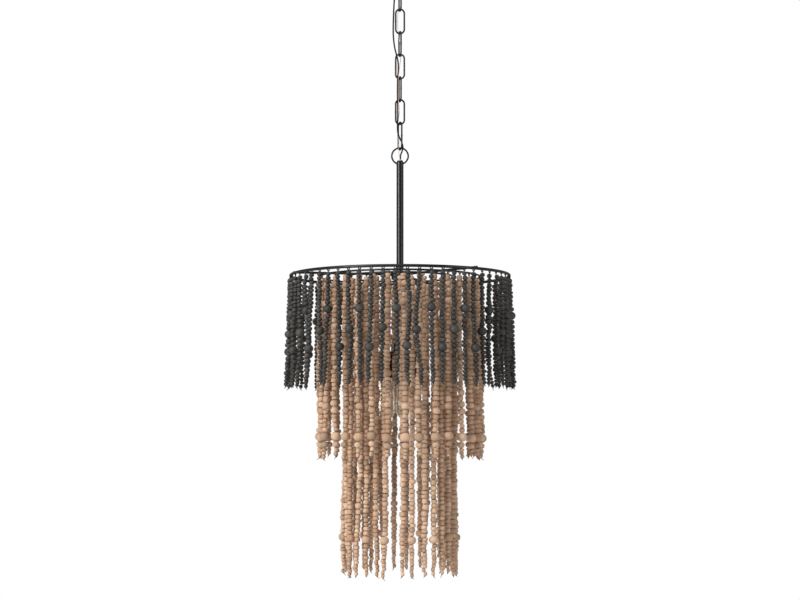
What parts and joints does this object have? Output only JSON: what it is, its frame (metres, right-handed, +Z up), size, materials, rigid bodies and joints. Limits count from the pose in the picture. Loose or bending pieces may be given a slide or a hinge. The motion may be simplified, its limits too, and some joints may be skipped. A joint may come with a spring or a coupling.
{
  "type": "beaded chandelier",
  "caption": "Tiered wooden-bead chandelier: black and natural bead strands hang from round metal rings on a stem, chain and ceiling canopy",
  "frame": {"origin": "the middle of the ceiling plane, where the crossbar and canopy rim meet the ceiling", "axes": "+Z up to the ceiling, everything hangs below; -Y faces the camera of the picture, +X to its right"},
  "size_m": [0.47, 0.47, 1.2756],
  "materials": {
    "black_metal": "satin black paint",
    "black_beads": "black-stained wood, soft sheen",
    "wood_beads": "natural light wood, matt",
    "cord_cover": "dark brown cord cover",
    "clear_wire": "pale translucent wire",
    "bushing_plastic": "pale plastic",
    "plated_steel": "zinc plated",
    "green_screw": "green ground screw",
    "brass": "plain brass",
    "bulb_glass": "clear, faint amber"
  },
  "bodies": {
    "ceiling": {"canopy": "black_metal", "crossbar": "plated_steel", "ground_screw": "green_screw", "nipple": "brass", "lock_nut": "brass", "collar_loop": "black_metal", "lamp_cord": "cord_cover", "ground_wire": "clear_wire"},
    "link_7": {"chain_link_7": "black_metal"},
    "link_6": {"chain_link_6": "black_metal"},
    "link_5": {"chain_link_5": "black_metal"},
    "link_4": {"chain_link_4": "black_metal"},
    "link_3": {"chain_link_3": "black_metal"},
    "link_2": {"chain_link_2": "black_metal"},
    "link_1": {"chain_link_1": "black_metal"},
    "fixture": {"stem_ring": "black_metal", "stem": "black_metal", "cord_bushing": "bushing_plastic", "hub": "black_metal", "outer_ring": "black_metal", "middle_ring": "black_metal", "inner_ring": "black_metal", "spoke_1": "black_metal", "spoke_2": "black_metal", "spoke_3": "black_metal", "socket_plate": "black_metal", "socket_1": "black_metal", "socket_2": "black_metal", "socket_3": "black_metal", "bulb_1": "bulb_glass", "bulb_2": "bulb_glass", "bulb_3": "bulb_glass", "finial": "black_metal"},
    "outer_strands_1": {"outer_strands_1": "black_beads"},
    "outer_strands_2": {"outer_strands_2": "black_beads"},
    "outer_strands_3": {"outer_strands_3": "black_beads"},
    "outer_strands_4": {"outer_strands_4": "black_beads"},
    "outer_strands_5": {"outer_strands_5": "black_beads"},
    "outer_strands_6": {"outer_strands_6": "black_beads"},
    "outer_strands_7": {"outer_strands_7": "black_beads"},
    "outer_strands_8": {"outer_strands_8": "black_beads"},
    "outer_strands_9": {"outer_strands_9": "black_beads"},
    "outer_strands_10": {"outer_strands_10": "black_beads"},
    "outer_strands_11": {"outer_strands_11": "black_beads"},
    "outer_strands_12": {"outer_strands_12": "black_beads"},
    "middle_strands_1": {"middle_strands_1": "wood_beads"},
    "middle_strands_2": {"middle_strands_2": "wood_beads"},
    "middle_strands_3": {"middle_strands_3": "wood_beads"},
    "middle_strands_4": {"middle_strands_4": "wood_beads"},
    "middle_strands_5": {"middle_strands_5": "wood_beads"},
    "middle_strands_6": {"middle_strands_6": "wood_beads"},
    "middle_strands_7": {"middle_strands_7": "wood_beads"},
    "middle_strands_8": {"middle_strands_8": "wood_beads"},
    "inner_strands_1": {"inner_strands_1": "wood_beads"},
    "inner_strands_2": {"inner_strands_2": "wood_beads"},
    "inner_strands_3": {"inner_strands_3": "wood_beads"},
    "inner_strands_4": {"inner_strands_4": "wood_beads"},
    "inner_strands_5": {"inner_strands_5": "wood_beads"},
    "inner_strands_6": {"inner_strands_6": "wood_beads"},
    "inner_strands_7": {"inner_strands_7": "wood_beads"}
  },
  "joints": [
    {"name": "link_7_swing", "type": "hinge", "parent": "ceiling", "child": "link_7", "pos_m": [0, 0, -0.0633], "axis": [1, 0, 0], "range_deg": [-15, 15], "deforming": ["lamp_cord", "ground_wire"]},
    {"name": "link_6_swing", "type": "hinge", "parent": "link_7", "child": "link_6", "pos_m": [0, 0, -0.1109], "axis": [0, 1, 0], "range_deg": [-15, 15], "deforming": ["lamp_cord", "ground_wire"]},
    {"name": "link_5_swing", "type": "hinge", "parent": "link_6", "child": "link_5", "pos_m": [0, 0, -0.1587], "axis": [1, 0, 0], "range_deg": [-15, 15], "deforming": ["lamp_cord", "ground_wire"]},
    {"name": "link_4_swing", "type": "hinge", "parent": "link_5", "child": "link_4", "pos_m": [0, 0, -0.2065], "axis": [0, 1, 0], "range_deg": [-15, 15], "deforming": ["lamp_cord", "ground_wire"]},
    {"name": "link_3_swing", "type": "hinge", "parent": "link_4", "child": "link_3", "pos_m": [0, 0, -0.2543], "axis": [1, 0, 0], "range_deg": [-15, 15], "deforming": ["lamp_cord", "ground_wire"]},
    {"name": "link_2_swing", "type": "hinge", "parent": "link_3", "child": "link_2", "pos_m": [0, 0, -0.3021], "axis": [0, 1, 0], "range_deg": [-15, 15], "deforming": ["lamp_cord", "ground_wire"]},
    {"name": "link_1_swing", "type": "hinge", "parent": "link_2", "child": "link_1", "pos_m": [0, 0, -0.3499], "axis": [1, 0, 0], "range_deg": [-15, 15], "deforming": ["lamp_cord", "ground_wire"]},
    {"name": "fixture_swing", "type": "hinge", "parent": "link_1", "child": "fixture", "pos_m": [0, 0, -0.4034], "axis": [0, 1, 0], "range_deg": [-15, 15], "deforming": ["lamp_cord", "ground_wire"]},
    {"name": "outer_strands_1_swing", "type": "hinge", "parent": "fixture", "child": "outer_strands_1", "pos_m": [0.03775, -0.22083, -0.66655], "axis": [-0.9857, -0.1685, 0], "range_deg": [-4, 15]},
    {"name": "outer_strands_2_swing", "type": "hinge", "parent": "fixture", "child": "outer_strands_2", "pos_m": [0.1431, -0.17237, -0.66655], "axis": [-0.7694, -0.6388, 0], "range_deg": [-4, 15]},
    {"name": "outer_strands_3_swing", "type": "hinge", "parent": "fixture", "child": "outer_strands_3", "pos_m": [0.21011, -0.07772, -0.66655], "axis": [-0.3469, -0.9379, 0], "range_deg": [-4, 15]},
    {"name": "outer_strands_4_swing", "type": "hinge", "parent": "fixture", "child": "outer_strands_4", "pos_m": [0.22083, 0.03775, -0.66655], "axis": [0.1685, -0.9857, 0], "range_deg": [-4, 15]},
    {"name": "outer_strands_5_swing", "type": "hinge", "parent": "fixture", "child": "outer_strands_5", "pos_m": [0.17237, 0.1431, -0.66655], "axis": [0.6388, -0.7694, 0], "range_deg": [-4, 15]},
    {"name": "outer_strands_6_swing", "type": "hinge", "parent": "fixture", "child": "outer_strands_6", "pos_m": [0.07772, 0.21011, -0.66655], "axis": [0.9379, -0.3469, 0], "range_deg": [-4, 15]},
    {"name": "outer_strands_7_swing", "type": "hinge", "parent": "fixture", "child": "outer_strands_7", "pos_m": [-0.03775, 0.22083, -0.66655], "axis": [0.9857, 0.1685, 0], "range_deg": [-4, 15]},
    {"name": "outer_strands_8_swing", "type": "hinge", "parent": "fixture", "child": "outer_strands_8", "pos_m": [-0.1431, 0.17237, -0.66655], "axis": [0.7694, 0.6388, 0], "range_deg": [-4, 15]},
    {"name": "outer_strands_9_swing", "type": "hinge", "parent": "fixture", "child": "outer_strands_9", "pos_m": [-0.21011, 0.07772, -0.66655], "axis": [0.3469, 0.9379, 0], "range_deg": [-4, 15]},
    {"name": "outer_strands_10_swing", "type": "hinge", "parent": "fixture", "child": "outer_strands_10", "pos_m": [-0.22083, -0.03775, -0.66655], "axis": [-0.1685, 0.9857, 0], "range_deg": [-4, 15]},
    {"name": "outer_strands_11_swing", "type": "hinge", "parent": "fixture", "child": "outer_strands_11", "pos_m": [-0.17237, -0.1431, -0.66655], "axis": [-0.6388, 0.7694, 0], "range_deg": [-4, 15]},
    {"name": "outer_strands_12_swing", "type": "hinge", "parent": "fixture", "child": "outer_strands_12", "pos_m": [-0.07772, -0.21011, -0.66655], "axis": [-0.9379, 0.3469, 0], "range_deg": [-4, 15]},
    {"name": "middle_strands_1_swing", "type": "hinge", "parent": "fixture", "child": "middle_strands_1", "pos_m": [0.05268, -0.15244, -0.66825], "axis": [-0.9452, -0.3266, 0], "range_deg": [-2.5, 7]},
    {"name": "middle_strands_2_swing", "type": "hinge", "parent": "fixture", "child": "middle_strands_2", "pos_m": [0.14332, -0.07397, -0.66825], "axis": [-0.4587, -0.8886, 0], "range_deg": [-2.5, 7]},
    {"name": "middle_strands_3_swing", "type": "hinge", "parent": "fixture", "child": "middle_strands_3", "pos_m": [0.15478, 0.04537, -0.66825], "axis": [0.2813, -0.9596, 0], "range_deg": [-2.5, 7]},
    {"name": "middle_strands_4_swing", "type": "hinge", "parent": "fixture", "child": "middle_strands_4", "pos_m": [0.08071, 0.13964, -0.66825], "axis": [0.8658, -0.5004, 0], "range_deg": [-2.5, 7]},
    {"name": "middle_strands_5_swing", "type": "hinge", "parent": "fixture", "child": "middle_strands_5", "pos_m": [-0.03795, 0.15676, -0.66825], "axis": [0.9719, 0.2353, 0], "range_deg": [-2.5, 7]},
    {"name": "middle_strands_6_swing", "type": "hinge", "parent": "fixture", "child": "middle_strands_6", "pos_m": [-0.13564, 0.08726, -0.66825], "axis": [0.541, 0.841, 0], "range_deg": [-2.5, 7]},
    {"name": "middle_strands_7_swing", "type": "hinge", "parent": "fixture", "child": "middle_strands_7", "pos_m": [-0.15839, -0.03045, -0.66825], "axis": [-0.1888, 0.982, 0], "range_deg": [-2.5, 7]},
    {"name": "middle_strands_8_swing", "type": "hinge", "parent": "fixture", "child": "middle_strands_8", "pos_m": [-0.07961, -0.13773, -0.66825], "axis": [-0.8658, 0.5004, 0], "range_deg": [-2.5, 7]},
    {"name": "inner_strands_1_swing", "type": "hinge", "parent": "fixture", "child": "inner_strands_1", "pos_m": [-0.04524, 0.09782, -0.66825], "axis": [0.9076, 0.4198, 0], "range_deg": [-1, 3.5]},
    {"name": "inner_strands_2_swing", "type": "hinge", "parent": "fixture", "child": "inner_strands_2", "pos_m": [-0.10384, 0.02884, -0.66825], "axis": [0.2676, 0.9635, 0], "range_deg": [-1, 3.5]},
    {"name": "inner_strands_3_swing", "type": "hinge", "parent": "fixture", "child": "inner_strands_3", "pos_m": [-0.08921, -0.06047, -0.66825], "axis": [-0.5611, 0.8278, 0], "range_deg": [-1, 3.5]},
    {"name": "inner_strands_4_swing", "type": "hinge", "parent": "fixture", "child": "inner_strands_4", "pos_m": [-0.01167, -0.10714, -0.66825], "axis": [-0.9941, 0.1082, 0], "range_deg": [-1, 3.5]},
    {"name": "inner_strands_5_swing", "type": "hinge", "parent": "fixture", "child": "inner_strands_5", "pos_m": [0.07411, -0.07825, -0.66825], "axis": [-0.7261, -0.6876, 0], "range_deg": [-1, 3.5]},
    {"name": "inner_strands_6_swing", "type": "hinge", "parent": "fixture", "child": "inner_strands_6", "pos_m": [0.10761, 0.00582, -0.66825], "axis": [0.054, -0.9985, 0], "range_deg": [-1, 3.5]},
    {"name": "inner_strands_7_swing", "type": "hinge", "parent": "fixture", "child": "inner_strands_7", "pos_m": [0.0546, 0.09072, -0.66825], "axis": [0.8568, -0.5157, 0], "range_deg": [-1, 3.5]}
  ]
}
